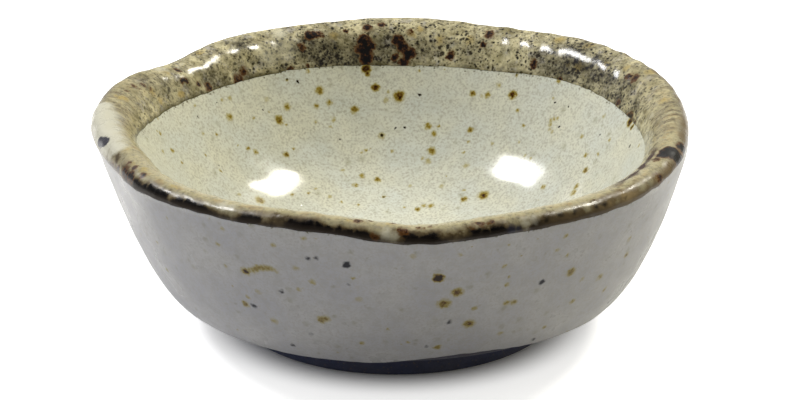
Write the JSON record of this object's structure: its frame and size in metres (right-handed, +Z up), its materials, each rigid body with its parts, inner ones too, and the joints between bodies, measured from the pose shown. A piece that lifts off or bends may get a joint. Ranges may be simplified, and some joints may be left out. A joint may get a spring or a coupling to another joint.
{
  "type": "condiment dish",
  "caption": "Small round stoneware condiment dish with a hand-pressed wavy lip, speckled white glaze, an ash-glazed rim band and a low foot ring, for sauce, salt or pickles.",
  "frame": {"origin": "centre of the rim's outline, on the plane that the foot stands on", "axes": "+Z up out of the bowl, +X to the right and +Y to the back of the dish as pictured"},
  "size_m": [0.098, 0.0998, 0.0357],
  "materials": {
    "bowl_clay": "bare fired stoneware, rough",
    "foot_clay": "bare stoneware with a dark iron wash, rough",
    "inner_white_glaze": "glossy speckled white glaze",
    "outer_white_glaze": "satin speckled white glaze",
    "rim_ash_glaze": "glossy mottled ash and iron glaze"
  },
  "bodies": {
    "root": {"clay_bowl": "bowl_clay", "foot_ring": "foot_clay", "inner_glaze": "inner_white_glaze", "outer_glaze": "outer_white_glaze", "rim_band": "rim_ash_glaze"}
  },
  "joints": []
}
